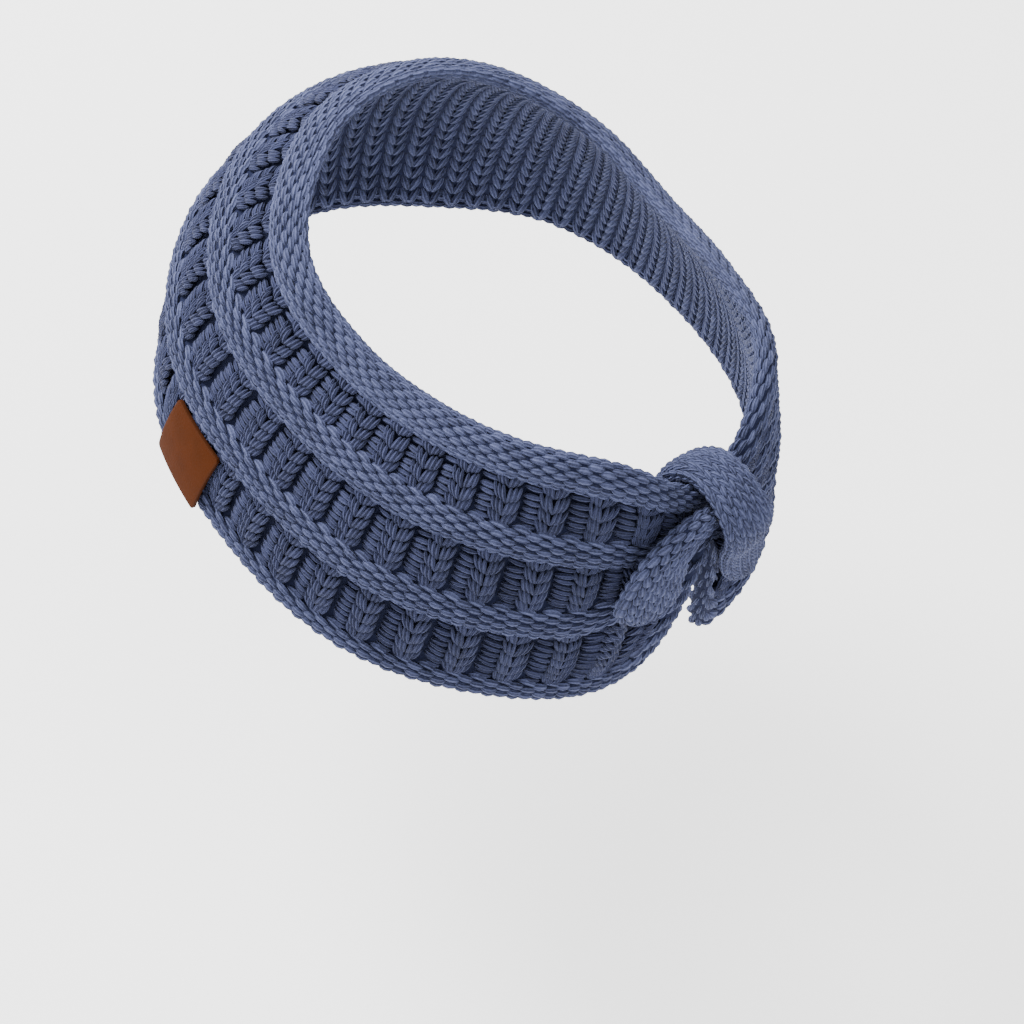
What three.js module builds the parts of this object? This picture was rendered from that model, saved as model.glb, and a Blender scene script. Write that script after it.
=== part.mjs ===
// Knitted ear warmer headband, gathered into a strapped knot at the back, in millimetres.
// +Z runs up the middle of the ring, the wearer faces -Y and the wearer's left is +X.
// The origin is the middle of the ring, where the head sits.
import * as THREE from 'three';

// Driving sizes
const innerLength = 186;
const innerBreadth = 158;
const bandWidth = 96;
const wall = 4.6;
const weltHeight = 3.6;
const rimRoll = 3.2;
const ribCount = 38;
const ribFill = 0.64;
const ribHeight = 1.6;
const knotBearing = 185;
const knotPinch = 3;
const clearance = 0.3;
const strapWidth = 18;
const strapThickness = 7.4;
const labelLength = 25;
const labelHeight = 26;
const labelThickness = 1.4;
const labelBearing = 75;

// Shape of a welt and of the panel below it: shares of the welt's half width or of weltHeight
const shoulderWidth = 0.55;
const shoulderSink = 0.12;
const flankSink = 0.72;
const panelSink = 0.85;
const panelEdge = 0.14;

// How the relief and the wall are drawn in near the knot, and how far round, in degrees
const pinchSpread = 9;
const calmSpread = 11;
const calmShare = 0.75;
const ribFadeSpread = 13;
const knotSections = 32;
const notchSections = 12;

// Shape of a strap's section and of its ends
const strapRoundness = 0.75;
const strapEnd = 0.35;
const strapSides = 12;

// The outline of the worn ring, every 30 degrees from the front round by the wearer's left.
// reach is a share of the plain oval, rise, width and crown are shares of bandWidth,
// lean is the inward slope of the wall, going up.
const outline = [
  { reach: 1.01, rise: 0.03, width: 1.08, lean: 0.22, crown: 0.2 },
  { reach: 1.045, rise: 0.02, width: 1.06, lean: 0.25, crown: 0.18 },
  { reach: 1.06, rise: -0.01, width: 0.95, lean: 0.31, crown: 0.12 },
  { reach: 1.0, rise: -0.025, width: 0.89, lean: 0.38, crown: 0.085 },
  { reach: 0.985, rise: -0.015, width: 0.95, lean: 0.37, crown: 0.07 },
  { reach: 0.995, rise: 0.022, width: 1.085, lean: 0.22, crown: 0.06 },
  { reach: 1.01, rise: -0.016, width: 1.233, lean: 0.1, crown: 0.06 },
  { reach: 1.013, rise: 0.053, width: 1.104, lean: 0.22, crown: 0.023 },
  { reach: 1.005, rise: 0.034, width: 0.919, lean: 0.4, crown: 0.07 },
  { reach: 1.0, rise: -0.04, width: 0.87, lean: 0.42, crown: 0.085 },
  { reach: 1.045, rise: -0.06, width: 0.93, lean: 0.33, crown: 0.13 },
  { reach: 1.03, rise: -0.03, width: 1.06, lean: 0.22, crown: 0.19 },
];

// The raised welts from top to bottom: middle and half width, as shares of the band's width
// from its middle.
const welts = [
  { middle: 0.446, half: 0.058 },
  { middle: 0.183, half: 0.058 },
  { middle: -0.129, half: 0.06 },
  { middle: -0.458, half: 0.044 },
];

// Shares of the band's width at which its inner face has a row of points
const innerShares = [-0.47, -0.3, -0.1, 0.1, 0.3, 0.47];

// How each share of the band's width is drawn in at the knot. height is where it lies there,
// as a share of bandWidth above the ring's middle. past and spread are in degrees: how far
// beyond the knot the pull is centred, and how far round it is felt.
const gather = [
  { share: 0.5, height: 0.35, past: 2, spread: 15 },
  { share: 0.446, height: 0.3, past: 2, spread: 15 },
  { share: 0.183, height: 0.17, past: 0, spread: 18 },
  { share: -0.129, height: 0.09, past: 0, spread: 17 },
  { share: -0.458, height: 0.06, past: 4, spread: 4 },
  { share: -0.5, height: 0.03, past: 4.5, spread: 2.8 },
];

// The two straps of the knot, from top to bottom. bearing is in degrees past the knot, height is
// a share of bandWidth above the ring's middle, lift is the strap's distance from the face of the
// band as a share of strapThickness, and width is a share of strapWidth.
const leftStrap = [
  { bearing: -1, height: 0.31, lift: 0.56, width: 0.84 },
  { bearing: -8, height: 0.295, lift: 0.56, width: 0.95 },
  { bearing: -11.8, height: 0.225, lift: 0.58, width: 1.08 },
  { bearing: -13.3, height: 0.13, lift: 0.6, width: 1.2 },
  { bearing: -14, height: 0.04, lift: 0.6, width: 1.28 },
  { bearing: -14.3, height: -0.04, lift: 0.58, width: 1.28 },
];
const overStrap = [
  { bearing: -1.5, height: 0.17, lift: -1.85, width: 0.8 },
  { bearing: 0, height: 0.3, lift: -1.95, width: 0.86 },
  { bearing: 1.4, height: 0.4, lift: -0.85, width: 0.92 },
  { bearing: 1.8, height: 0.41, lift: 0.4, width: 0.96 },
  { bearing: 1.8, height: 0.38, lift: 1.25, width: 1 },
  { bearing: 2.2, height: 0.33, lift: 1.75, width: 1.03 },
  { bearing: 3.4, height: 0.25, lift: 1.6, width: 1.04 },
  { bearing: 5.6, height: 0.14, lift: 1.02, width: 1.02 },
  { bearing: 8.5, height: 0, lift: 0.64, width: 1 },
  { bearing: 11.5, height: -0.15, lift: 0.58, width: 0.94 },
];

const yarn = new THREE.MeshStandardMaterial({ color: 0x4f5b85, roughness: 0.95, metalness: 0 });
const strapYarn = new THREE.MeshStandardMaterial({ color: 0x556190, roughness: 0.95, metalness: 0 });
const leather = new THREE.MeshStandardMaterial({ color: 0x7a4426, roughness: 0.6, metalness: 0 });

const radians = THREE.MathUtils.degToRad;

// A smooth value at a bearing, from a closed table with equal steps.
function roundTable(rows, column, bearing) {
  const place = THREE.MathUtils.euclideanModulo((bearing / 360) * rows.length, rows.length);
  const first = Math.floor(place);
  const t = place - first;
  const [a, b, c, d] = [-1, 0, 1, 2].map((step) => rows[(first + step + rows.length) % rows.length][column]);
  return b + 0.5 * t * (c - a + t * (2 * a - 5 * b + 4 * c - d + t * (3 * (b - c) + d - a)));
}

// A value between the rows of a table sorted from high share to low.
function between(rows, column, share) {
  const last = rows.length - 1;
  if (share >= rows[0].share) return rows[0][column];
  for (let i = 0; i < last; i += 1) {
    if (share >= rows[i + 1].share) {
      const t = (rows[i].share - share) / (rows[i].share - rows[i + 1].share);
      return THREE.MathUtils.lerp(rows[i][column], rows[i + 1][column], t);
    }
  }
  return rows[last][column];
}

const fromKnot = (bearing) => THREE.MathUtils.euclideanModulo(bearing - knotBearing + 180, 360) - 180;
const pull = (bearing, spread, past = 0) => Math.exp(-(((fromKnot(bearing) - past) / spread) ** 2));

// The height of a share of the band's width, after the knot has drawn it in.
function heightAt(bearing, share) {
  const rise = roundTable(outline, 'rise', bearing);
  const width = roundTable(outline, 'width', bearing);
  const free = (rise + width * share) * bandWidth;
  const drawn = between(gather, 'height', share) * bandWidth;
  const past = between(gather, 'past', share);
  const spread = between(gather, 'spread', share);
  return THREE.MathUtils.lerp(free, drawn, pull(bearing, spread, past));
}

// A point at a bearing and height, outside the crests of the welts by the distance out.
function pointAt(bearing, height, out) {
  const angle = radians(bearing);
  const halfLength = innerLength / 2 + wall + weltHeight;
  const halfBreadth = innerBreadth / 2 + wall + weltHeight;
  const oval = 1 / Math.hypot(Math.sin(angle) / halfBreadth, Math.cos(angle) / halfLength);
  const width = roundTable(outline, 'width', bearing) * bandWidth;
  const up = height - roundTable(outline, 'rise', bearing) * bandWidth;
  const crown = roundTable(outline, 'crown', bearing) * bandWidth * (2 * up / width) ** 2;
  const lean = roundTable(outline, 'lean', bearing) * up;
  const pinch = knotPinch * pull(bearing, pinchSpread);
  const reach = oval * roundTable(outline, 'reach', bearing) - lean - crown - pinch + out;
  return new THREE.Vector3(reach * Math.sin(angle), -reach * Math.cos(angle), height);
}

// The outer side of the band from its top edge to its bottom: crests, and panels sunk between them.
function outerProfile() {
  const rows = [];
  const bottom = welts.length - 1;
  const shoulder = shoulderSink * weltHeight;
  const flank = flankSink * weltHeight;
  welts.forEach(({ middle, half }, i) => {
    const topEdge = i === 0 ? { share: 0.5, sink: rimRoll } : { share: middle + half, sink: flank };
    const lowEdge = i === bottom ? { share: -0.5, sink: rimRoll } : { share: middle - half, sink: flank };
    rows.push({ ...topEdge, rib: 0 });
    rows.push({ share: middle + half * shoulderWidth, sink: shoulder, rib: 0 });
    rows.push({ share: middle, sink: 0, rib: 0 });
    rows.push({ share: middle - half * shoulderWidth, sink: shoulder, rib: 0 });
    rows.push({ ...lowEdge, rib: 0 });
    if (i === bottom) return;
    const high = middle - half;
    const low = welts[i + 1].middle + welts[i + 1].half;
    rows.push({ share: THREE.MathUtils.lerp(high, low, panelEdge), sink: weltHeight, rib: 1 });
    rows.push({ share: (high + low) / 2, sink: panelSink * weltHeight, rib: 1 });
    rows.push({ share: THREE.MathUtils.lerp(low, high, panelEdge), sink: weltHeight, rib: 1 });
  });
  return rows;
}

// The bearings of the sections: the edges of each rib and the groove after it, closer by the knot.
function bearings() {
  const list = [];
  const step = 360 / ribCount;
  const half = (step * ribFill) / 2;
  for (let rib = 0; rib < ribCount; rib += 1) {
    const middle = rib * step;
    const away = Math.abs(fromKnot(middle));
    const offsets = [-half, half];
    if (away < knotSections) offsets.push(0);
    if (away < notchSections) offsets.push(-half / 2, half / 2);
    offsets.sort((a, b) => a - b);
    offsets.forEach((offset) => list.push({ bearing: middle + offset, groove: 0 }));
    list.push({ bearing: middle + step / 2, groove: 1 });
  }
  return list;
}

// A closed solid from closed rings of points; open at the ends unless it closes on itself.
function loft(rings, closesOnItself) {
  const count = rings[0].length;
  const positions = rings.flat().flatMap((p) => [p.x, p.y, p.z]);
  const index = [];
  const last = closesOnItself ? rings.length : rings.length - 1;
  for (let i = 0; i < last; i += 1) {
    const here = i * count;
    const next = ((i + 1) % rings.length) * count;
    for (let k = 0; k < count; k += 1) {
      const k2 = (k + 1) % count;
      index.push(here + k, next + k2, next + k, here + k, here + k2, next + k2);
    }
  }
  if (!closesOnItself) {
    const end = (rings.length - 1) * count;
    for (let k = 1; k < count - 1; k += 1) {
      index.push(0, k + 1, k);
      index.push(end, end + k, end + k + 1);
    }
  }
  const geometry = new THREE.BufferGeometry();
  geometry.setAttribute('position', new THREE.Float32BufferAttribute(positions, 3));
  geometry.setIndex(index);
  geometry.computeVertexNormals();
  return geometry;
}

// The knitted band: one hollow ring whose wall follows the welts and the ribbed panels.
function bandGeometry() {
  const outer = outerProfile();
  const rings = bearings().map(({ bearing, groove }) => {
    const calm = 1 - calmShare * pull(bearing, calmSpread);
    const ribDepth = ribHeight * groove * (1 - pull(bearing, ribFadeSpread));
    const outside = outer.map(({ share, sink, rib }) => {
      const out = -sink * calm - rib * ribDepth;
      return pointAt(bearing, heightAt(bearing, share), out);
    });
    const inside = innerShares.map((share) => {
      return pointAt(bearing, heightAt(bearing, share), -(wall + weltHeight));
    });
    return [...outside, ...inside];
  });
  return loft(rings, true);
}

// A soft strap: a rounded flat section carried along its rows, its flat side towards the band.
function strapGeometry(rows, steps) {
  const depth = (wall + weltHeight) / 2;
  const places = rows.map(({ bearing, height, lift }) => {
    return pointAt(knotBearing + bearing, height * bandWidth, lift * strapThickness);
  });
  const cores = rows.map(({ bearing, height }) => {
    const rim = heightAt(knotBearing + bearing, 0.5);
    const core = Math.min(height * bandWidth, rim - depth);
    return pointAt(knotBearing + bearing, core, -depth);
  });
  const path = new THREE.CatmullRomCurve3(places);
  const coreLine = new THREE.CatmullRomCurve3(cores);
  const widths = new THREE.CatmullRomCurve3(rows.map(({ width }, i) => new THREE.Vector3(i, width, 0)));
  const length = path.getLength();
  const rings = [];
  for (let i = 0; i <= steps; i += 1) {
    const t = i / steps;
    const middle = path.getPoint(t);
    const along = path.getTangent(t);
    const outward = middle.clone().sub(coreLine.getPoint(t));
    outward.addScaledVector(along, -outward.dot(along)).normalize();
    const across = along.clone().cross(outward).normalize();
    const halfWidth = (widths.getPoint(t).y * strapWidth) / 2;
    const toEnd = Math.min(t, 1 - t) * length;
    const blunt = Math.max(0, 1 - toEnd / halfWidth);
    const taper = Math.max(strapEnd, Math.sqrt(1 - blunt ** 2));
    const halfDepth = (strapThickness / 2) * ((1 + taper) / 2);
    const ring = [];
    for (let k = 0; k < strapSides; k += 1) {
      const turn = (2 * Math.PI * (k + 0.5)) / strapSides;
      const side = Math.sign(Math.cos(turn)) * Math.abs(Math.cos(turn)) ** strapRoundness;
      const place = middle.clone().addScaledVector(across, -side * halfWidth * taper);
      ring.push(place.addScaledVector(outward, Math.sin(turn) * halfDepth));
    }
    rings.push(ring);
  }
  return loft(rings, false);
}

// The label: a thin flat patch that bridges the lowest panel, bent to the band.
function labelGeometry() {
  const columns = 8;
  const rows = 4;
  const weltAbove = welts.at(-2);
  const topHeight = heightAt(labelBearing, weltAbove.middle - weltAbove.half);
  const radius = pointAt(labelBearing, topHeight, 0).setZ(0).length();
  const halfSpan = THREE.MathUtils.radToDeg(labelLength / radius / 2);
  const rings = [];
  for (let i = 0; i <= columns; i += 1) {
    const bearing = labelBearing + THREE.MathUtils.lerp(-halfSpan, halfSpan, i / columns);
    const ring = [];
    for (let k = 0; k <= rows; k += 1) {
      ring.push(pointAt(bearing, topHeight - (k / rows) * labelHeight, clearance + labelThickness));
    }
    for (let k = rows; k >= 0; k -= 1) {
      ring.push(pointAt(bearing, topHeight - (k / rows) * labelHeight, clearance));
    }
    rings.push(ring);
  }
  return loft(rings, false);
}

function piece(name, geometry, material) {
  const mesh = new THREE.Mesh(geometry, material);
  mesh.name = name;
  return mesh;
}

const headband = new THREE.Group();
headband.add(piece('knit_band', bandGeometry(), yarn));
headband.add(piece('knot_left_strap', strapGeometry(leftStrap, 16), strapYarn));
headband.add(piece('knot_over_strap', strapGeometry(overStrap, 26), strapYarn));
headband.add(piece('label_patch', labelGeometry(), leather));

export default headband;
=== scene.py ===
import math

import bpy
import numpy as np
from mathutils import Matrix, Vector


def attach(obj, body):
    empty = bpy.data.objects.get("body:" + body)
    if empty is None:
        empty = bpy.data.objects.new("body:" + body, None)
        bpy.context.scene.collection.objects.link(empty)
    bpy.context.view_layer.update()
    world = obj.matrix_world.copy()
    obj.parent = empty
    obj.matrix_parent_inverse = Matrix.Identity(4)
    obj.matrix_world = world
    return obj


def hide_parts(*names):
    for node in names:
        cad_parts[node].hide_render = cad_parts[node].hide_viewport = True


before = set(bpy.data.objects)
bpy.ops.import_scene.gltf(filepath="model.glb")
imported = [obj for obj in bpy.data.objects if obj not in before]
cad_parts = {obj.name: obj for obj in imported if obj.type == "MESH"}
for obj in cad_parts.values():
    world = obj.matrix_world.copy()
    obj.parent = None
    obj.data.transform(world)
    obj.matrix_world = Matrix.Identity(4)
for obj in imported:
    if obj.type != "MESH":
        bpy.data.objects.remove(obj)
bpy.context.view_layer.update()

# Lengths in this file are in millimetres until a mesh is made, and the frame is in metres
MM = 0.001

# Driving sizes of the ring, the same as the frame's
INNER_LENGTH = 186
INNER_BREADTH = 158
BAND_WIDTH = 96
WALL = 4.6
WELT_HEIGHT = 3.6
RIB_COUNT = 38
KNOT_BEARING = 185
KNOT_PINCH = 3
PINCH_SPREAD = 9
CLEARANCE = 0.3
STRAP_WIDTH = 18
STRAP_THICKNESS = 7.4
STRAP_ROUNDNESS = 0.75
STRAP_END = 0.35
LABEL_LENGTH = 25
LABEL_HEIGHT = 26
LABEL_THICKNESS = 1.4
LABEL_BEARING = 75

# Sizes of the knitting. The grain is one visible length of yarn in a welt, and plies are the strands
# of a panel's stitches. ROW_PITCH is the distance of a welt's rows, and a course is one row of V's.
STITCH_STEP = 360 / (2 * RIB_COUNT)
NOTCH_BEARING = 40 * STITCH_STEP
ROW_PITCH = 1.62
GRAIN_LENGTH = 6.2
GRAIN_WIDTH = 2.1
GRAIN_DEPTH = 2.2
COURSE = 4.1
PLY_WIDTH = 1.6
PLY_DEPTH = 2.4
INNER_COURSE = 3.7
STRAP_COURSE = 3.7
STRAP_BURY = 0.9

# The outline of the worn ring, every 30 degrees from the front round by the wearer's left.
# reach is a share of the plain oval, rise, width and crown are shares of BAND_WIDTH,
# lean is the inward slope of the wall, going up.
OUTLINE = {
    "reach": [1.01, 1.045, 1.06, 1, 0.985, 0.995, 1.01, 1.013, 1.005, 1, 1.045, 1.03],
    "rise": [0.03, 0.02, -0.01, -0.025, -0.015, 0.022, -0.016, 0.053, 0.034, -0.04, -0.06, -0.03],
    "width": [1.08, 1.06, 0.95, 0.89, 0.95, 1.085, 1.233, 1.104, 0.919, 0.87, 0.93, 1.06],
    "lean": [0.22, 0.25, 0.31, 0.38, 0.37, 0.22, 0.1, 0.22, 0.4, 0.42, 0.33, 0.22],
    "crown": [0.2, 0.18, 0.12, 0.085, 0.07, 0.06, 0.06, 0.023, 0.07, 0.085, 0.13, 0.19],
}

# How each share of the band's width, from low to high, is drawn in at the knot: height is a share
# of BAND_WIDTH, past and spread are degrees beyond and round the knot.
GATHER = {
    "share": [-0.5, -0.458, -0.129, 0.183, 0.446, 0.5],
    "height": [0.03, 0.06, 0.09, 0.17, 0.3, 0.35],
    "past": [4.5, 4, 0, 0, 2, 2],
    "spread": [2.8, 4, 17, 18, 15, 15],
}

# The raised welts from top to bottom. middle and half are shares of the band's width; low and high
# are the turns of the roll, in degrees from straight out, that its rows of stitches cover; depth is
# the roll's half depth in shares of WELT_HEIGHT; big says how much larger the rows at its open
# side are, and towards is that side's turn.
WELTS = {
    "welt_top": dict(middle=0.446, half=0.054, low=-78, high=205, depth=1.12, big=0.35, towards=-78),
    "welt_upper": dict(middle=0.183, half=0.058, low=-80, high=80, depth=1.0, big=0.4, towards=80),
    "welt_lower": dict(middle=-0.129, half=0.06, low=-80, high=80, depth=1.0, big=0.4, towards=80),
    "welt_bottom": dict(middle=-0.456, half=0.044, low=-200, high=80, depth=1.12, big=0.3, towards=80),
}

# The ribbed panels between two welts, and how many courses of stitches each one shows
PANELS = {
    "panel_upper": dict(above="welt_top", below="welt_upper", courses=4),
    "panel_middle": dict(above="welt_upper", below="welt_lower", courses=5),
    "panel_lower": dict(above="welt_lower", below="welt_bottom", courses=5),
}

# The two kinds of stitches in a panel. out is the place at the panel's ends, outwards from the
# welts' crests, and swell is how much further out it is at the middle. slant is in degrees.
V_STITCH = dict(out=-3.9, swell=1.9, first=0.8, apart=1.3, raised=0.3, sunk=0.12, slant=12, fan=3)
LEVEL_STITCH = dict(out=-4.6, swell=1.8, aside=0.9, length=6.4, width=1.8, slant=7, climb=1.1)

# The two straps of the knot, from top to bottom. bearing is in degrees past the knot, height is a
# share of BAND_WIDTH, lift is a share of STRAP_THICKNESS from the band's face, width is a share
# of STRAP_WIDTH.
LEFT_STRAP = {
    "bearing": [-1, -8, -11.8, -13.3, -14, -14.3],
    "height": [0.31, 0.295, 0.225, 0.13, 0.04, -0.04],
    "lift": [0.56, 0.56, 0.58, 0.6, 0.6, 0.58],
    "width": [0.84, 0.95, 1.08, 1.2, 1.28, 1.28],
}
OVER_STRAP = {
    "bearing": [-1.5, 0, 1.4, 1.8, 1.8, 2.2, 3.4, 5.6, 8.5, 11.5],
    "height": [0.17, 0.3, 0.4, 0.41, 0.38, 0.33, 0.25, 0.14, 0, -0.15],
    "lift": [-1.85, -1.95, -0.85, 0.4, 1.25, 1.75, 1.6, 1.02, 0.64, 0.58],
    "width": [0.8, 0.86, 0.92, 0.96, 1, 1.03, 1.04, 1.02, 1, 0.94],
}

chance = np.random.default_rng(7)


def unit(vectors):
    return vectors / np.maximum(np.linalg.norm(vectors, axis=-1, keepdims=True), 1e-9)


# The shape of the ring


def round_value(column, bearing):
    """A smooth value at a bearing, from a closed column with equal steps."""
    values = np.array(OUTLINE[column])
    place = np.mod(np.asarray(bearing, float) / 360 * len(values), len(values))
    first = np.floor(place).astype(int)
    t = place - first
    a, b, c, d = (values[(first + step) % len(values)] for step in (-1, 0, 1, 2))
    return b + 0.5 * t * (c - a + t * (2 * a - 5 * b + 4 * c - d + t * (3 * (b - c) + d - a)))


def from_knot(bearing):
    return np.mod(np.asarray(bearing, float) - KNOT_BEARING + 180, 360) - 180


def pull(bearing, spread, past=0):
    return np.exp(-(((from_knot(bearing) - past) / spread) ** 2))


def height_at(bearing, share):
    """The height of a share of the band's width, after the knot has drawn it in."""
    drawn, past, spread = (np.interp(share, GATHER["share"], GATHER[k]) for k in ("height", "past", "spread"))
    free = round_value("rise", bearing) + round_value("width", bearing) * share
    drawn_in = pull(bearing, spread, past)
    return (free + (drawn - free) * drawn_in) * BAND_WIDTH


def point_at(bearing, height, out):
    """A point at a bearing and height, outside the crests of the welts by the distance out."""
    angle = np.radians(bearing)
    half_length = INNER_LENGTH / 2 + WALL + WELT_HEIGHT
    half_breadth = INNER_BREADTH / 2 + WALL + WELT_HEIGHT
    oval = 1 / np.hypot(np.sin(angle) / half_breadth, np.cos(angle) / half_length)
    width = round_value("width", bearing) * BAND_WIDTH
    up = height - round_value("rise", bearing) * BAND_WIDTH
    crown = round_value("crown", bearing) * BAND_WIDTH * (2 * up / width) ** 2
    lean = round_value("lean", bearing) * up
    pinch = KNOT_PINCH * pull(bearing, PINCH_SPREAD)
    reach = oval * round_value("reach", bearing) - lean - crown - pinch + out
    height = height + 0 * reach
    return np.stack([reach * np.sin(angle), -reach * np.cos(angle), height], axis=-1)


def wall_point(bearing, share, out):
    return point_at(bearing, height_at(bearing, share), out)


def wall_frame(bearing, share, out):
    """Points on the band's wall, with unit vectors along the row, up the wall and outwards, and how
    far apart two rows lie there, as a share of their distance in the unstretched band."""
    turn = 0.15
    lift = 0.004
    point = wall_point(bearing, share, out)
    along = unit(wall_point(bearing + turn, share, out) - wall_point(bearing - turn, share, out))
    rise = wall_point(bearing, share + lift, out) - wall_point(bearing, share - lift, out)
    outward = unit(np.cross(along, rise))
    up = np.cross(outward, along)
    return point, along, up, outward, np.sum(rise * up, axis=-1) / (2 * lift * BAND_WIDTH)


# Yarn: one short length of it, seen between two stitches, is modelled once and laid many times


def deselect():
    if bpy.context.object and bpy.context.object.mode != "OBJECT":
        bpy.ops.object.mode_set(mode="OBJECT")
    bpy.ops.object.select_all(action="DESELECT")


def model_grain(sides, rings):
    """One length of yarn, lying along X, a unit long, wide and deep, with closed ends."""
    deselect()
    bpy.ops.mesh.primitive_uv_sphere_add(segments=sides, ring_count=rings, radius=0.5)
    grain = bpy.context.object
    bpy.ops.object.mode_set(mode="EDIT")
    bpy.ops.mesh.select_all(action="SELECT")
    bpy.ops.transform.rotate(value=math.radians(90), orient_axis="Y", center_override=(0, 0, 0))
    bpy.ops.object.mode_set(mode="OBJECT")
    mesh = grain.data
    shape = {
        "points": np.array([v.co for v in mesh.vertices], float),
        "corners": np.array([loop.vertex_index for loop in mesh.loops]),
        "starts": np.array([face.loop_start for face in mesh.polygons]),
        "yarn": np.array([corner.uv for corner in mesh.uv_layers[0].data], float),
    }
    bpy.data.objects.remove(grain)
    return shape


def lay(point, along, up, outward, length, width, depth, bow=0, dip=0, slant=0, pitch=0):
    """A batch of yarn lengths: where each one lies, its size, and how it bends and turns in place.
    bow lifts its middle up the wall, dip sinks its ends, slant turns it in the wall's plane and
    pitch raises its far end out of it."""
    count = len(point)
    values = dict(length=length, width=width, depth=depth, bow=bow, dip=dip, slant=slant, pitch=pitch)
    batch = {k: np.broadcast_to(np.asarray(v, float), (count,)) for k, v in values.items()}
    batch.update(point=point, along=along, up=up, outward=outward)
    return batch


def joined(batches):
    return {key: np.concatenate([batch[key] for batch in batches]) for key in batches[0]}


def jitter(count, share):
    return 1 + share * chance.uniform(-1, 1, count)


def jolt(count, degrees):
    return math.radians(degrees) * chance.uniform(-1, 1, count)


def place_grains(shape, batch):
    """The vertices of every length of yarn in a batch."""
    x, y, z = (shape["points"][None, :, k] for k in range(3))
    value = {k: batch[k][:, None] for k in ("length", "width", "depth", "bow", "dip", "slant", "pitch")}
    ends = 4 * x**2
    run = x * value["length"]
    side = y * value["width"] + value["bow"] * (0.5 - ends)
    rise = z * value["depth"] - value["dip"] * ends + value["pitch"] * 2 * x
    cos, sin = np.cos(value["slant"]), np.sin(value["slant"])
    run, side = run * cos - side * sin, run * sin + side * cos
    return (
        batch["point"][:, None]
        + run[..., None] * batch["along"][:, None]
        + side[..., None] * batch["up"][:, None]
        + rise[..., None] * batch["outward"][:, None]
    )


def yarn_piece(name, shape, batch, material):
    """One joined mesh of yarn lengths, with the twist of the yarn in its UV map and a tone each."""
    points = place_grains(shape, batch)
    count, size = points.shape[:2]
    corner_count = len(shape["corners"])
    mesh = bpy.data.meshes.new(name)
    mesh.vertices.add(count * size)
    mesh.vertices.foreach_set("co", (points * MM).astype(np.float32).ravel())
    mesh.loops.add(count * corner_count)
    corners = shape["corners"][None] + (np.arange(count) * size)[:, None]
    mesh.loops.foreach_set("vertex_index", corners.ravel())
    starts = shape["starts"][None] + (np.arange(count) * corner_count)[:, None]
    mesh.polygons.add(starts.size)
    mesh.polygons.foreach_set("loop_start", starts.ravel())
    mesh.polygons.foreach_set("use_smooth", np.ones(starts.size, bool))
    twist = mesh.uv_layers.new(name="yarn")
    twist.data.foreach_set("uv", np.tile(shape["yarn"].ravel(), count))
    tone = mesh.attributes.new("tone", "FLOAT", "POINT")
    tone.data.foreach_set("value", np.repeat(chance.uniform(0, 1, count), size))
    mesh.update(calc_edges=True)
    mesh.validate()
    mesh.materials.append(material)
    piece = bpy.data.objects.new(name, mesh)
    bpy.context.scene.collection.objects.link(piece)
    return piece


# Materials


def linear(colour):
    """A linear colour from an sRGB hex value."""
    channels = [int(colour[i : i + 2], 16) / 255 for i in (1, 3, 5)]
    return [c / 12.92 if c <= 0.04045 else ((c + 0.055) / 1.055) ** 2.4 for c in channels] + [1.0]


def node(tree, kind, values=None, **settings):
    """Adds a node with its settings, and sets or links its inputs."""
    made = tree.nodes.new(kind)
    for name, value in settings.items():
        setattr(made, name, value)
    for key, value in (values or {}).items():
        if isinstance(value, bpy.types.NodeSocket):
            tree.links.new(value, made.inputs[key])
        else:
            made.inputs[key].default_value = value
    return made


def new_material(name):
    material = bpy.data.materials.new(name)
    material.use_nodes = True
    tree = material.node_tree
    tree.nodes.clear()
    return material, tree


def finish_material(tree, values):
    surface = node(tree, "ShaderNodeBsdfPrincipled", values)
    node(tree, "ShaderNodeOutputMaterial", {"Surface": surface.outputs[0]})


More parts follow.
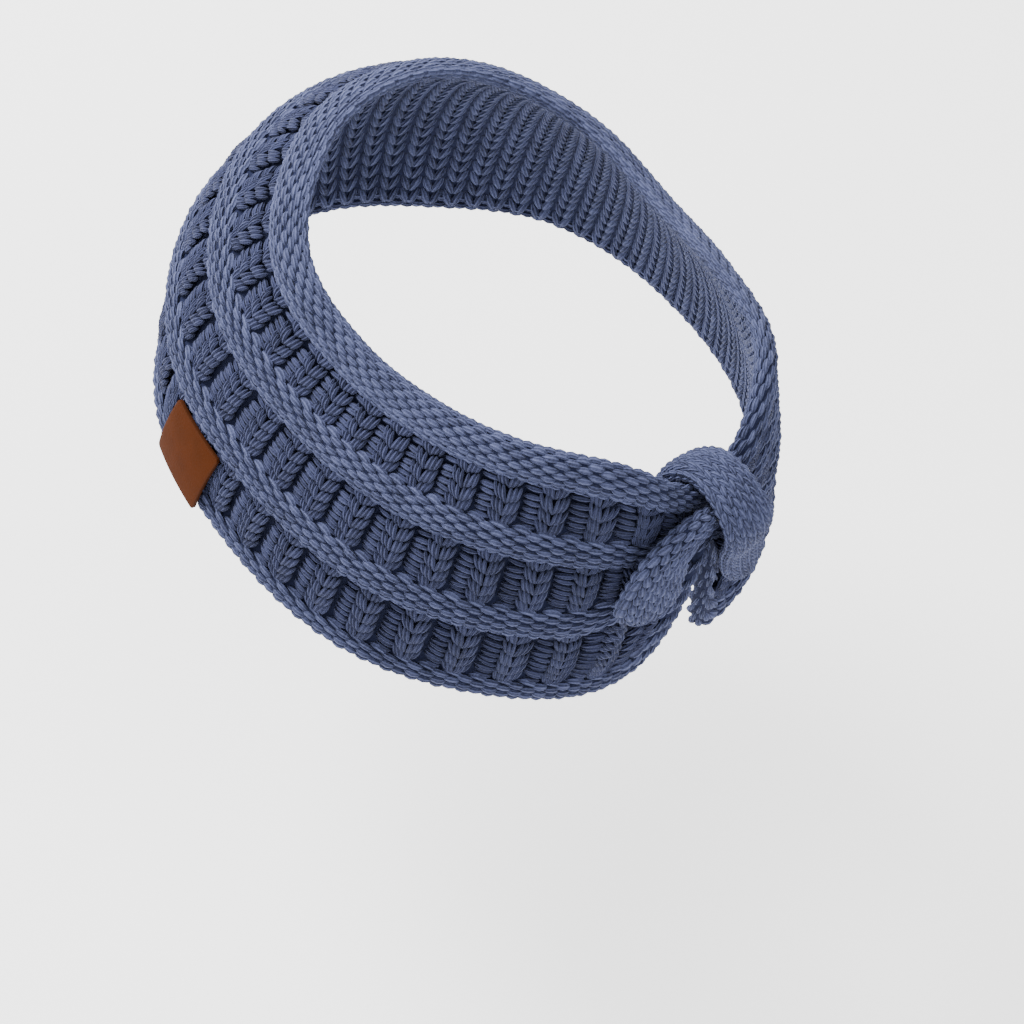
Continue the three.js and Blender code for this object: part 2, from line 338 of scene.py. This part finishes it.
def acrylic_yarn(name, dark, light):
    """Plied acrylic yarn, spun and slightly brushed: matt, with its plies' spiral and a soft halo. The colour
    is lighter on each ply's crest and darker in the grooves between plies: painted highlight and painted
    shade, mixed with the fibres' and grains' own random tone. The fibres are drawn coarser than life, so that
    they show at all."""
    plies = 6
    turns = 0.7
    material, tree = new_material(name)
    twist = node(tree, "ShaderNodeUVMap", uv_map="yarn")
    parts = node(tree, "ShaderNodeSeparateXYZ", {0: twist.outputs[0]})
    around = node(tree, "ShaderNodeMath", {0: parts.outputs[0], 1: plies}, operation="MULTIPLY")
    spiral = node(
        tree,
        "ShaderNodeMath",
        {0: parts.outputs[1], 1: turns, 2: around.outputs[0]},
        operation="MULTIPLY_ADD",
    )
    phase = node(tree, "ShaderNodeMath", {0: spiral.outputs[0], 1: 2 * math.pi}, operation="MULTIPLY")
    wave = node(tree, "ShaderNodeMath", {0: phase.outputs[0]}, operation="SINE")
    ply = node(tree, "ShaderNodeMapRange", {0: wave.outputs[0], 1: -1.0, 2: 1.0})
    place = node(tree, "ShaderNodeTexCoord")
    fibres = node(
        tree, "ShaderNodeTexNoise", {"Vector": place.outputs["Object"], "Scale": 1400.0, "Detail": 2.0}
    )
    clouds = node(
        tree, "ShaderNodeTexNoise", {"Vector": place.outputs["Object"], "Scale": 90.0, "Detail": 2.0}
    )
    tone = node(tree, "ShaderNodeAttribute", attribute_name="tone")
    mixed = node(
        tree, "ShaderNodeMath", {0: ply.outputs[0], 1: 0.55, 2: fibres.outputs[0]}, operation="MULTIPLY_ADD"
    )
    toned = node(
        tree,
        "ShaderNodeMath",
        {0: tone.outputs["Fac"], 1: 0.3, 2: mixed.outputs[0]},
        operation="MULTIPLY_ADD",
    )
    clouded = node(
        tree, "ShaderNodeMath", {0: clouds.outputs[0], 1: 0.3, 2: toned.outputs[0]}, operation="MULTIPLY_ADD"
    )
    shade = node(tree, "ShaderNodeMapRange", {0: clouded.outputs[0], 1: 0.5, 2: 1.45})
    # Ply crests are painted lighter and grooves darker, as painted highlight and painted shade, with random
    # tone from the fibres, grains and clouds.
    colour = node(
        tree,
        "ShaderNodeMix",
        {0: shade.outputs[0], 6: linear(dark), 7: linear(light)},
        data_type="RGBA",
    )
    relief = node(
        tree, "ShaderNodeMath", {0: fibres.outputs[0], 1: 0.5, 2: ply.outputs[0]}, operation="MULTIPLY_ADD"
    )
    bump = node(tree, "ShaderNodeBump", {"Height": relief.outputs[0], "Distance": 0.4 * MM})
    finish_material(
        tree,
        {
            "Base Color": colour.outputs[2],
            "Roughness": 0.92,
            "Specular IOR Level": 0.25,
            "Sheen Weight": 0.06,
            "Sheen Roughness": 0.45,
            "Sheen Tint": linear("#aab4d8"),
            "Normal": bump.outputs[0],
        },
    )
    return material


def painted_shade_core_yarn():
    """The same yarn deep in the fabric, painted darker than the yarn outside as painted shade, since little
    light reaches it there.
    """
    material, tree = new_material("acrylic_yarn_core_painted_shade")
    place = node(tree, "ShaderNodeTexCoord")
    fibres = node(
        tree, "ShaderNodeTexNoise", {"Vector": place.outputs["Object"], "Scale": 500.0, "Detail": 3.0}
    )
    # Both colours are the yarn's, painted darker: painted shade in the gaps between the stitches.
    colour = node(
        tree,
        "ShaderNodeMix",
        {0: fibres.outputs[0], 6: linear("#15182a"), 7: linear("#222742")},
        data_type="RGBA",
    )
    bump = node(tree, "ShaderNodeBump", {"Height": fibres.outputs[0], "Distance": 0.4 * MM})
    finish_material(
        tree,
        {
            "Base Color": colour.outputs[2],
            "Roughness": 0.95,
            "Specular IOR Level": 0.15,
            "Normal": bump.outputs[0],
        },
    )
    return material


def coated_leather():
    """Coated imitation leather, die-cut: an even matt brown with a fine pressed grain, and a darker
    cut rim."""
    material, tree = new_material("coated_leather")
    place = node(tree, "ShaderNodeTexCoord")
    grain = node(
        tree,
        "ShaderNodeTexVoronoi",
        {"Vector": place.outputs["Object"], "Scale": 1500.0},
        feature="SMOOTH_F1",
    )
    clouds = node(
        tree, "ShaderNodeTexNoise", {"Vector": place.outputs["Object"], "Scale": 150.0, "Detail": 3.0}
    )
    rim = node(tree, "ShaderNodeAttribute", attribute_name="rim")
    brown = node(
        tree,
        "ShaderNodeMix",
        {0: clouds.outputs[0], 6: linear("#351704"), 7: linear("#411d06")},
        data_type="RGBA",
    )
    colour = node(
        tree,
        "ShaderNodeMix",
        {0: rim.outputs["Fac"], 6: brown.outputs[2], 7: linear("#3a1e10")},
        data_type="RGBA",
    )
    bump = node(tree, "ShaderNodeBump", {"Height": grain.outputs[0], "Distance": 0.08 * MM, "Strength": 0.6})
    finish_material(
        tree,
        {
            "Base Color": colour.outputs[2],
            "Roughness": 0.7,
            "Specular IOR Level": 0.03,
            "Normal": bump.outputs[0],
        },
    )
    return material


# The fabric's core, which closes the gaps between the stitches; its yarn is painted dark as painted shade


def grid_piece(name, points, closed_along, material):
    """A closed skin over rings of points. The rings close on themselves or have flat ends."""
    rings, count = points.shape[:2]
    last = rings if closed_along else rings - 1
    faces = []
    for i in range(last):
        here, after = i * count, (i + 1) % rings * count
        for k in range(count):
            other = (k + 1) % count
            faces.append((here + k, here + other, after + other, after + k))
    if not closed_along:
        faces.append(tuple(range(count))[::-1])
        faces.append(tuple((rings - 1) * count + k for k in range(count)))
    mesh = bpy.data.meshes.new(name)
    mesh.from_pydata((points.reshape(-1, 3) * MM).tolist(), [], faces)
    mesh.update()
    mesh.validate()
    mesh.materials.append(material)
    piece = bpy.data.objects.new(name, mesh)
    bpy.context.scene.collection.objects.link(piece)
    deselect()
    piece.select_set(True)
    bpy.context.view_layer.objects.active = piece
    bpy.ops.object.mode_set(mode="EDIT")
    bpy.ops.mesh.select_all(action="SELECT")
    bpy.ops.mesh.normals_make_consistent(inside=False)
    bpy.ops.object.mode_set(mode="OBJECT")
    bpy.ops.object.shade_smooth()
    return piece


def band_core():
    """The ring under the stitches, sunk below their middles."""
    bury = 1.2
    panel_depth = WELT_HEIGHT + 2.0
    inside = WALL + WELT_HEIGHT
    shares, outs = [], []
    names = list(WELTS)
    for i, name in enumerate(names):
        welt = WELTS[name]
        half_depth = WELT_HEIGHT * welt["depth"]
        first = 180 if i == 0 else 80
        last = -180 if i == len(names) - 1 else -80
        for turn in np.radians(np.linspace(first, last, 14 if abs(first - last) > 200 else 9)):
            shares.append(welt["middle"] + (welt["half"] - bury / BAND_WIDTH) * math.sin(turn))
            outs.append(-half_depth + (half_depth - bury) * math.cos(turn))
        if i < len(names) - 1:
            below = WELTS[names[i + 1]]
            high = welt["middle"] - welt["half"]
            low = below["middle"] + below["half"]
            for t in (0.1, 0.5, 0.9):
                shares.append(high + (low - high) * t)
                outs.append(-panel_depth)
    for share in np.linspace(-0.43, 0.41, 12):
        shares.append(share)
        outs.append(bury - inside)
    bearings = np.concatenate([np.arange(0, 172, 2.0), np.arange(172, 200, 0.5), np.arange(200, 360, 2.0)])
    points = wall_point(bearings[:, None], np.array(shares)[None], np.array(outs)[None])
    return grid_piece("band_core", points, True, CORE_PAINTED_SHADE)


# The stitches of the welts


def stitch_bearings(share, offset):
    """Where the stitches of a row stand: even steps round the ring, closer where the row is steep."""
    fine = np.arange(0, 360.01, 0.1)
    points = wall_point(fine, share, -1.0)
    steps = np.diff(points, axis=0)
    slope = np.linalg.norm(steps, axis=1) / np.maximum(np.linalg.norm(steps[:, :2], axis=1), 1e-6)
    pace = np.maximum(1, slope / 1.15) * 0.1
    way = fine[:-1] < NOTCH_BEARING
    rising = np.concatenate([[0], np.cumsum(pace[way])])
    falling = np.concatenate([[0], np.cumsum(pace[~way][::-1])])
    ahead = np.interp(np.arange(offset, rising[-1] / STITCH_STEP) * STITCH_STEP, rising, fine[: len(rising)])
    back_steps = np.arange(1 - offset, falling[-1] / STITCH_STEP) * STITCH_STEP
    behind = 360 - np.interp(back_steps, falling, 360 - fine[::-1][: len(falling)])
    return np.concatenate([ahead, behind])


def roll_turns(welt):
    """The turns of a welt's rows, evenly spaced round its roll."""
    half_width = welt["half"] * BAND_WIDTH
    half_depth = WELT_HEIGHT * welt["depth"]
    turns = np.linspace(welt["low"], welt["high"], 400)
    line = np.stack([half_width * np.sin(np.radians(turns)), half_depth * np.cos(np.radians(turns))], axis=-1)
    run = np.concatenate([[0], np.cumsum(np.linalg.norm(np.diff(line, axis=0), axis=1))])
    rows = round(run[-1] / ROW_PITCH) + 1
    return np.interp(np.linspace(0, run[-1], rows), run, turns)


def welt_rows(welt):
    """Rows of short yarn lengths in brick order, wrapped round the welt's roll."""
    half_width = welt["half"] * BAND_WIDTH
    half_depth = WELT_HEIGHT * welt["depth"]
    edge = 0.8
    bury = 0.9
    rim = 0.499
    open_turn = 45
    least_room = 0.1
    batches = []
    for row, turn in enumerate(roll_turns(welt)):
        angle = math.radians(turn)
        share = welt["middle"] + (welt["half"] - edge / BAND_WIDTH) * math.sin(angle)
        share = np.clip(share, -rim, rim)
        out = -half_depth + (half_depth - bury) * math.cos(angle)
        bearing = stitch_bearings(share, 0.5 * (row % 2))
        room = wall_frame(bearing, share, out)[-1]
        bearing = bearing[room > least_room]
        point, along, up, outward, room = wall_frame(bearing, share, out)
        room = np.clip(room, 0.5, 2.2)[:, None]
        normal = unit(math.cos(angle) / half_depth * outward + math.sin(angle) / half_width / room * up)
        across = np.cross(normal, along)
        open_side = max(0, 1 - abs(turn - welt["towards"]) / open_turn)
        big = 1 + welt["big"] * open_side
        count = len(bearing)
        slant = math.radians(-4 - 8 * open_side)
        batches.append(
            lay(
                point + normal * 0.25 * big * open_side,
                along,
                across,
                normal,
                length=GRAIN_LENGTH * (1 + 0.12 * open_side) * jitter(count, 0.05),
                width=GRAIN_WIDTH * big * room[:, 0] ** 0.85 * jitter(count, 0.08),
                depth=GRAIN_DEPTH * big * jitter(count, 0.05),
                bow=0.25 * (-1) ** row,
                dip=0.95,
                slant=slant + jolt(count, 3),
            )
        )
    return joined(batches)


# The stitches of the ribbed panels


def panel_rows(panel):
    """Raised columns of V stitches. Each has a column of level ones before it, which climbs out of
    the hollow behind the last V and meets the edge of the next. The lowest panel has one more on
    each side of the notch."""
    cover = 0.82
    drawn_span = 28
    tightest = 0.6 * COURSE
    above, below = WELTS[panel["above"]], WELTS[panel["below"]]
    high = above["middle"] - cover * above["half"]
    low = below["middle"] + cover * below["half"]
    notch = NOTCH_BEARING / STITCH_STEP
    columns = list(range(2 * RIB_COUNT))
    if panel["below"] == "welt_bottom":
        columns += [notch - 1.4, notch + 0.75]
    batches = []
    for column in columns:
        bearing = column * STITCH_STEP
        span = float(height_at(bearing, high) - height_at(bearing, low))
        courses = panel["courses"] if span < drawn_span else round(span / COURSE)
        if span / courses < tightest:
            courses = round(span / COURSE)
        if courses < 1:
            continue
        step = span / courses
        t = (np.arange(courses) + 0.5) / courses
        share = high + (low - high) * t
        swell = np.sin(math.pi * t) ** 0.6
        turns = np.full(courses, bearing)
        if column % 2 == 0:
            out = V_STITCH["out"] + V_STITCH["swell"] * swell
            point, along, up, outward, _ = wall_frame(turns, share, out)
            for side in (-1, 1):
                for ply in (0, 1, 2):
                    aside = side * (V_STITCH["first"] + V_STITCH["apart"] * ply)
                    raised = V_STITCH["raised"] + V_STITCH["raised"] * ply
                    lean = V_STITCH["slant"] + V_STITCH["fan"] * ply
                    place = point + aside * along
                    place = place + raised * up - V_STITCH["sunk"] * ply**2 * outward
                    batches.append(
                        lay(
                            place,
                            along,
                            up,
                            outward,
                            length=step * 1.5 * jitter(courses, 0.1),
                            width=PLY_WIDTH * jitter(courses, 0.12),
                            depth=PLY_DEPTH,
                            bow=-0.25 * side,
                            dip=0.45,
                            slant=math.radians(90 - side * lean) + jolt(courses, 7),
                            pitch=-0.1,
                        )
                    )
        else:
            out = LEVEL_STITCH["out"] + LEVEL_STITCH["swell"] * swell
            point, along, up, outward, _ = wall_frame(turns, share, out)
            for ply in (-1, 1):
                batches.append(
                    lay(
                        point + LEVEL_STITCH["aside"] * along + ply * 0.25 * step * up,
                        along,
                        up,
                        outward,
                        length=LEVEL_STITCH["length"] * jitter(courses, 0.1),
                        width=min(step * 0.5, LEVEL_STITCH["width"]) * jitter(courses, 0.15),
                        depth=PLY_DEPTH,
                        bow=0.3,
                        dip=0.5,
                        slant=math.radians(LEVEL_STITCH["slant"]) + jolt(courses, 9),
                        pitch=LEVEL_STITCH["climb"],
                    )
                )
    return joined(batches)


# The inside of the band, plain knit


def inner_rows(first, last):
    """Columns of V stitches on the inner face, between two shares of the band's width."""
    inside = WALL + WELT_HEIGHT
    least_step = 2.2
    longest_step = 4.4
    courses = round((first - last) * BAND_WIDTH / INNER_COURSE)
    shares = np.linspace(first, last, courses)
    batches = []
    for column in range(2 * RIB_COUNT):
        bearing = (column + 0.5) * STITCH_STEP
        heights = height_at(bearing, shares)
        kept = [0]
        for i in range(1, courses):
            if heights[kept[-1]] - heights[i] > least_step:
                kept.append(i)
        share = shares[kept]
        count = len(kept)
        step = np.full(count, INNER_COURSE)
        if count > 1:
            step = np.minimum(np.abs(np.gradient(heights[kept])), longest_step)
        point, along, up, outward, _ = wall_frame(np.full(count, bearing), share, 0.7 - inside)
        for side in (-1, 1):
            batches.append(
                lay(
                    point + side * 1.75 * along,
                    -along,
                    up,
                    -outward,
                    length=step * 1.6 * jitter(count, 0.05),
                    width=2.9 * jitter(count, 0.05),
                    depth=1.9,
                    dip=0.4,
                    slant=math.radians(90 + side * 25),
                    pitch=-0.3,
                )
            )
    return joined(batches)


# The straps of the knot


def curve_points(places, t):
    """Points on a centripetal Catmull-Rom curve through the places, as the frame's straps have."""
    places = np.concatenate([[2 * places[0] - places[1]], places, [2 * places[-1] - places[-2]]])
    spot = np.clip(t, 0, 1) * (len(places) - 3)
    first = np.minimum(np.floor(spot).astype(int), len(places) - 4)
    t = (spot - first)[:, None]
    a, b, c, d = (places[first + step] for step in range(4))
    pairs = ((a, b), (b, c), (c, d))
    da, db, dc = (np.maximum(np.sum((q - p) ** 2, axis=1) ** 0.25, 1e-4)[:, None] for p, q in pairs)
    start = ((b - a) / da - (c - a) / (da + db) + (c - b) / db) * db
    end = ((c - b) / db - (d - b) / (db + dc) + (d - c) / dc) * db
    return b + t * (start + t * (-3 * b + 3 * c - 2 * start - end + t * (2 * b - 2 * c + start + end)))


def strap_surface(rows, t, turn, bury):
    """Points on a strap's rounded flat section, at a share of its length and a turn round it."""
    bearing = KNOT_BEARING + np.array(rows["bearing"], float)
    height = np.array(rows["height"]) * BAND_WIDTH
    half_wall = (WALL + WELT_HEIGHT) / 2
    middles = point_at(bearing, height, np.array(rows["lift"]) * STRAP_THICKNESS)
    rim = height_at(bearing, 0.5)
    cores = point_at(bearing, np.minimum(height, rim - half_wall), -half_wall)
    widths = np.stack([np.arange(len(bearing)), rows["width"], 0 * bearing], axis=-1)
    middle = curve_points(middles, t)
    along = unit(curve_points(middles, t + 0.002) - curve_points(middles, t - 0.002))
    outward = middle - curve_points(cores, t)
    outward = unit(outward - np.sum(outward * along, axis=1, keepdims=True) * along)
    across = np.cross(along, outward)
    half_width = curve_points(widths, t)[:, 1] * STRAP_WIDTH / 2
    run = np.linalg.norm(np.diff(curve_points(middles, np.linspace(0, 1, 200)), axis=0), axis=1).sum()
    blunt = np.maximum(0, 1 - np.minimum(t, 1 - t) * run / half_width)
    taper = np.sqrt(np.maximum(STRAP_END**2, 1 - blunt**2))
    half_depth = STRAP_THICKNESS / 2 * (1 + taper) / 2 - bury
    cos, sin = np.cos(turn), np.sin(turn)
    side = np.sign(cos) * np.abs(cos) ** STRAP_ROUNDNESS * (half_width * taper - bury)
    return middle - side[:, None] * across + (sin * half_depth)[:, None] * outward


def strap_core(name, rows):
    t = np.linspace(0.01, 0.99, 40)
    turn = np.linspace(0, 2 * math.pi, 20, endpoint=False)
    grid = np.stack([strap_surface(rows, t, np.full(len(t), v), 1.3) for v in turn], axis=1)
    return grid_piece(name, grid, False, CORE_PAINTED_SHADE)


def strap_rows(rows, legs):
    """Columns of V stitches that run the length of the strap, all the way round it."""
    spots = np.linspace(0, 1, 400)
    fine = strap_surface(rows, spots, np.full(400, math.pi / 2), 0)
    run = np.concatenate([[0], np.cumsum(np.linalg.norm(np.diff(fine, axis=0), axis=1))])
    courses = round(run[-1] / STRAP_COURSE)
    turns = np.linspace(0, 2 * math.pi, 241)
    batches = []
    for course in range(2 * courses):
        spot = float(np.interp((course + 0.5) / (2 * courses) * run[-1], run, spots))
        ring = strap_surface(rows, np.full(241, spot), turns, STRAP_BURY)
        around = np.concatenate([[0], np.cumsum(np.linalg.norm(np.diff(ring, axis=0), axis=1))])
        pitch = around[-1] / legs
        first = 0 if course % 2 == 0 else 1
        leg = np.arange(first, legs, 2)
        turn = np.interp((leg + 0.5) * pitch, around, turns)
        t = np.full(len(leg), spot)
        point = strap_surface(rows, t, turn, STRAP_BURY)
        ahead = strap_surface(rows, t + 0.01, turn, STRAP_BURY)
        along = unit(ahead - strap_surface(rows, t - 0.01, turn, STRAP_BURY))
        over = strap_surface(rows, t, turn + 0.05, STRAP_BURY)
        across = over - strap_surface(rows, t, turn - 0.05, STRAP_BURY)
        normal = unit(np.cross(across, along))
        batches.append(
            lay(
                point,
                along,
                np.cross(normal, along),
                normal,
                length=STRAP_COURSE * 1.45 * jitter(len(leg), 0.06),
                width=pitch * 1.15 * jitter(len(leg), 0.08),
                depth=2.5,
                dip=0.6,
                slant=math.radians(13) * (-1) ** course + jolt(len(leg), 4),
                pitch=0.2,
            )
        )
    return joined(batches)


# The label


def label_piece():
    """A flat die-cut patch bent to the band, with its upper edge tucked in below the welt."""
    weave = WELTS["welt_lower"]
    top = float(height_at(LABEL_BEARING, weave["middle"] - weave["half"]))
    radius = float(np.linalg.norm(point_at(LABEL_BEARING, top, 0)[:2]))
    half_span = math.degrees(LABEL_LENGTH / radius / 2)
    deselect()
    bpy.ops.mesh.primitive_grid_add(x_subdivisions=24, y_subdivisions=24, size=2)
    label = bpy.context.object
    label.name = "label_patch_leather"
    mesh = label.data
    flat = np.array([v.co for v in mesh.vertices], float)
    corner = 1.2
    tuck = 2.1
    half = np.array([LABEL_LENGTH / 2, LABEL_HEIGHT / 2])
    spot = flat[:, :2] * half
    beyond = np.maximum(np.abs(spot) - (half - corner), 0)
    reach = np.linalg.norm(beyond, axis=1)
    stretch = np.maximum(beyond.max(axis=1), 1e-9) / np.maximum(reach, 1e-9)
    rounded = beyond * np.where(reach > 0, stretch, 1)[:, None]
    spot = np.sign(spot) * (np.minimum(np.abs(spot), half - corner) + rounded)
    bearing = LABEL_BEARING + spot[:, 0] / half[0] * half_span
    height = top - LABEL_HEIGHT / 2 + spot[:, 1]
    sunk = tuck * (0.5 + spot[:, 1] / LABEL_HEIGHT)
    place = point_at(bearing, height, CLEARANCE + LABEL_THICKNESS - sunk) * MM
    mesh.vertices.foreach_set("co", place.astype(np.float32).ravel())
    edge = np.min(half - np.abs(spot), axis=1)
    rim = mesh.attributes.new("rim", "FLOAT", "POINT")
    rim.data.foreach_set("value", np.clip(1 - edge / 0.6, 0, 1) * 0.8)
    thick = label.modifiers.new("thickness", "SOLIDIFY")
    thick.thickness = LABEL_THICKNESS * MM
    thick.offset = -1
    bpy.ops.object.modifier_apply(modifier="thickness")
    bevel = label.modifiers.new("edge", "BEVEL")
    bevel.width = 0.3 * MM
    bevel.segments = 2
    bevel.limit_method = "ANGLE"
    bpy.ops.object.modifier_apply(modifier="edge")
    bpy.ops.object.shade_smooth_by_angle(angle=math.radians(40))
    mesh.materials.append(LEATHER)
    return label


def mount(piece, slot, *nodes):
    """The piece rides on the part and stands for the named nodes, which it hides. The slot is not used."""
    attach(piece, "root")
    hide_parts(*nodes)


# Camera, light and floor


def add_camera():
    """The photograph's view: from behind and above on the wearer's left, leaning with the head."""
    azimuth, elevation, roll = (math.radians(a) for a in (126.13, 53.77, 21.1))
    distance = 1600
    aim_right, aim_up = 7.74, -54.2
    scale = 3.186
    level_reach = math.cos(elevation)
    back = Vector(
        (math.sin(azimuth) * level_reach, -math.cos(azimuth) * level_reach, math.sin(elevation))
    )
    level = Vector((0, 0, 1)).cross(back).normalized()
    above = back.cross(level)
    right = math.cos(roll) * level + math.sin(roll) * above
    up = math.cos(roll) * above - math.sin(roll) * level
    aim = right * aim_right + up * aim_up
    spot = back * distance
    towards = (spot - aim).normalized()
    right = up.cross(towards).normalized()
    up = towards.cross(right)
    data = bpy.data.cameras.new("photo_camera")
    data.lens = 36 * scale * distance / 1024
    data.clip_start = 0.05
    data.clip_end = 20
    camera = bpy.data.objects.new("photo_camera", data)
    turn = Matrix((right, up, towards)).transposed().to_4x4()
    camera.matrix_world = Matrix.Translation(spot * MM) @ turn
    bpy.context.scene.collection.objects.link(camera)
    bpy.context.scene.camera = camera
    return right, up, towards


def area_light(name, direction, distance, size, power):
    data = bpy.data.lights.new(name, "AREA")
    data.size = size
    data.energy = power
    light = bpy.data.objects.new(name, data)
    light.location = direction.normalized() * distance
    light.rotation_mode = "QUATERNION"
    light.rotation_quaternion = direction.to_track_quat("Z", "Y")
    bpy.context.scene.collection.objects.link(light)


def add_studio(right, up, towards):
    """Soft light from the camera's upper left, a weaker one from its right, and a pale floor that
    glows a little, as a studio's lit white ground does."""
    area_light("key", -0.55 * right + 0.8 * up + 0.5 * towards, 1.3, 0.6, 40)
    area_light("fill", 0.9 * right + 0.1 * up + 0.7 * towards, 1.5, 1.0, 4)
    world = bpy.data.worlds.new("studio")
    world.use_nodes = True
    background = world.node_tree.nodes["Background"]
    background.inputs[0].default_value = (1.0, 1.0, 1.0, 1.0)
    background.inputs[1].default_value = 1.6
    bpy.context.scene.world = world
    bpy.ops.mesh.primitive_plane_add(size=8, location=(0, 0, -0.2))
    floor = bpy.context.object
    floor.name = "floor"
    material, tree = new_material("pale_floor")
    finish_material(
        tree,
        {
            "Base Color": linear("#fafafa"),
            "Roughness": 0.9,
            "Emission Color": (1, 1, 1, 1),
            "Emission Strength": 0.9,
        },
    )
    floor.data.materials.append(material)


YARN = acrylic_yarn("acrylic_yarn", "#171a2e", "#4f5577")
# The panels' yarn is the same yarn painted darker: painted shade for the panels lying deep between the welts.
PANEL_YARN_PAINTED_SHADE = acrylic_yarn("acrylic_yarn_panel_painted_shade", "#14172a", "#3c4161")
CORE_PAINTED_SHADE = painted_shade_core_yarn()
LEATHER = coated_leather()
GRAIN = model_grain(8, 6)
SMALL_GRAIN = model_grain(6, 5)

mount(band_core(), "band_knit", "knit_band")
for name, welt in WELTS.items():
    mount(yarn_piece(name, GRAIN, welt_rows(welt), YARN), "band_knit", "knit_band")
for name, panel in PANELS.items():
    mount(yarn_piece(name, GRAIN, panel_rows(panel), PANEL_YARN_PAINTED_SHADE), "band_knit", "knit_band")
for name, first, last in (("inner_knit_upper", 0.43, 0.0), ("inner_knit_lower", -0.04, -0.44)):
    mount(yarn_piece(name, SMALL_GRAIN, inner_rows(first, last), YARN), "band_knit", "knit_band")
for name, rows, legs in (("left_strap", LEFT_STRAP, 16), ("over_strap", OVER_STRAP, 20)):
    mount(strap_core(name + "_core", rows), "strap_knit", "knot_" + name)
    mount(yarn_piece(name + "_knit", GRAIN, strap_rows(rows, legs), YARN), "strap_knit", "knot_" + name)
mount(label_piece(), "label_leather", "label_patch")

add_studio(*add_camera())
